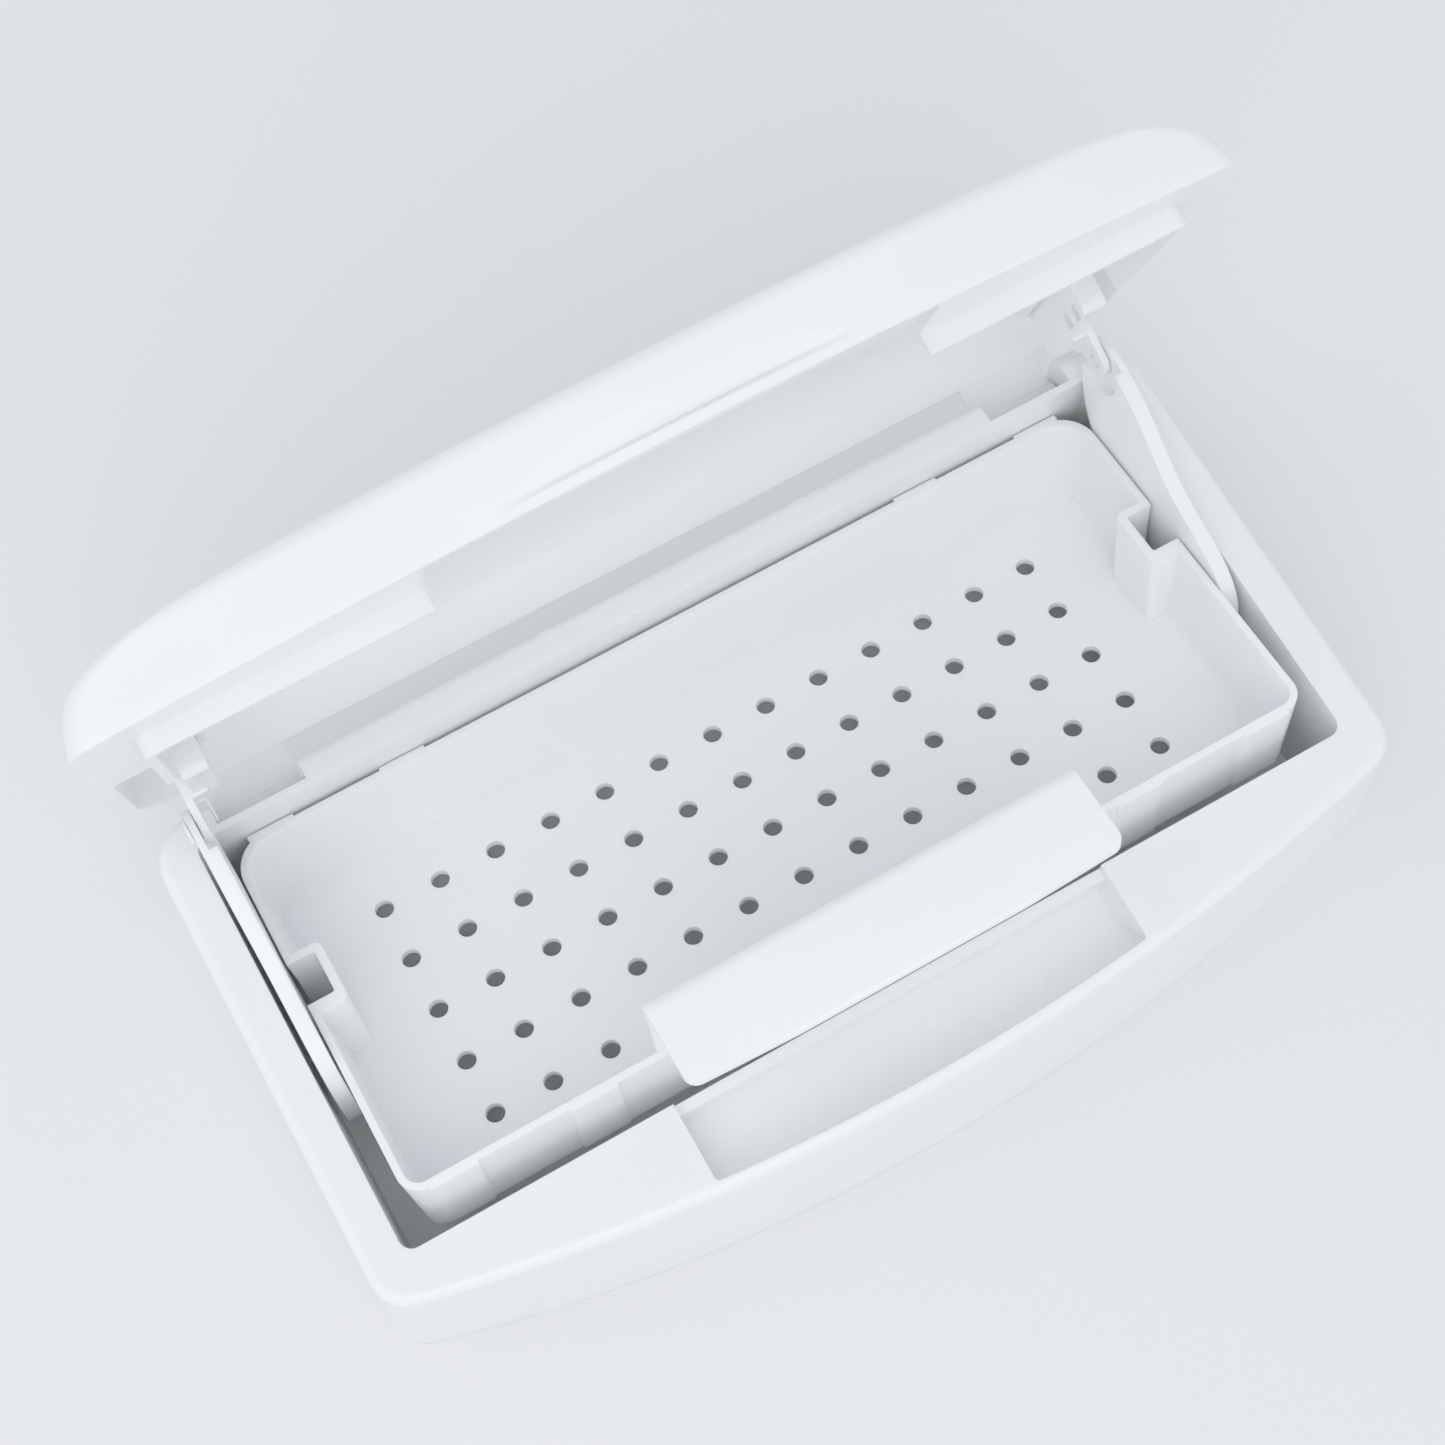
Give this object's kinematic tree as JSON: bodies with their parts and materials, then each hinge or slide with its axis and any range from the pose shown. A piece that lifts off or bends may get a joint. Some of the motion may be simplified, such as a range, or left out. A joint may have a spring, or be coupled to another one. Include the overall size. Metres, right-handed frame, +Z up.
{
  "type": "instrument disinfecting tray box",
  "caption": "White plastic disinfecting box with a domed hinged lid, two lift arms and a perforated lift-out strainer tray with a raised front handle.",
  "frame": {"origin": "on the tub's flat underside, midway along its length and close to the middle of its depth", "axes": "+X along the length to the right, +Y towards the hinge at the rear, +Z up; the front of the box faces -Y"},
  "size_m": [0.2486, 0.1574, 0.1595],
  "materials": {
    "tub_plastic": "glossy injection-moulded white",
    "lid_plastic": "glossy injection-moulded white",
    "strainer_plastic": "satin injection-moulded white",
    "arm_plastic": "satin injection-moulded white",
    "bracket_plastic": "satin injection-moulded white",
    "pin_plastic": "matt injection-moulded white",
    "hinge_steel": "drawn stainless wire"
  },
  "bodies": {
    "base": {"base_tub": "tub_plastic", "hinge_pin_left": "hinge_steel", "hinge_pin_right": "hinge_steel"},
    "lid": {"lid_shell": "lid_plastic", "arm_bracket_left": "bracket_plastic", "arm_bracket_right": "bracket_plastic", "arm_pivot_pin_left": "pin_plastic", "arm_pivot_pin_right": "pin_plastic"},
    "strainer": {"strainer_tray": "strainer_plastic"},
    "arm_left": {"lift_arm_left": "arm_plastic"},
    "arm_right": {"lift_arm_right": "arm_plastic"}
  },
  "joints": [
    {"name": "lid_hinge", "type": "hinge", "parent": "base", "child": "lid", "pos_m": [0, 0.0633, 0.0317], "axis": [1, 0, 0], "range_deg": [0, 75.5]},
    {"name": "strainer_tilt", "type": "hinge", "parent": "base", "child": "strainer", "pos_m": [0, 0.0525, 0.005], "axis": [1, 0, 0], "range_deg": [0, 10.73]},
    {"name": "arm_pivot_left", "type": "hinge", "parent": "lid", "child": "arm_left", "pos_m": [-0.11, 0.056, 0.057], "axis": [1, 0, 0], "range_deg": [-93.6, 0]},
    {"name": "arm_pivot_right", "type": "hinge", "parent": "lid", "child": "arm_right", "pos_m": [0.11, 0.056, 0.057], "axis": [1, 0, 0], "range_deg": [-93.6, 0]}
  ],
  "couplings": [
    {"joint": "strainer_tilt", "follows": "lid_hinge", "ratio": 0.14199},
    {"joint": "arm_pivot_left", "follows": "lid_hinge", "ratio": -1.2384},
    {"joint": "arm_pivot_right", "follows": "lid_hinge", "ratio": -1.2384}
  ]
}
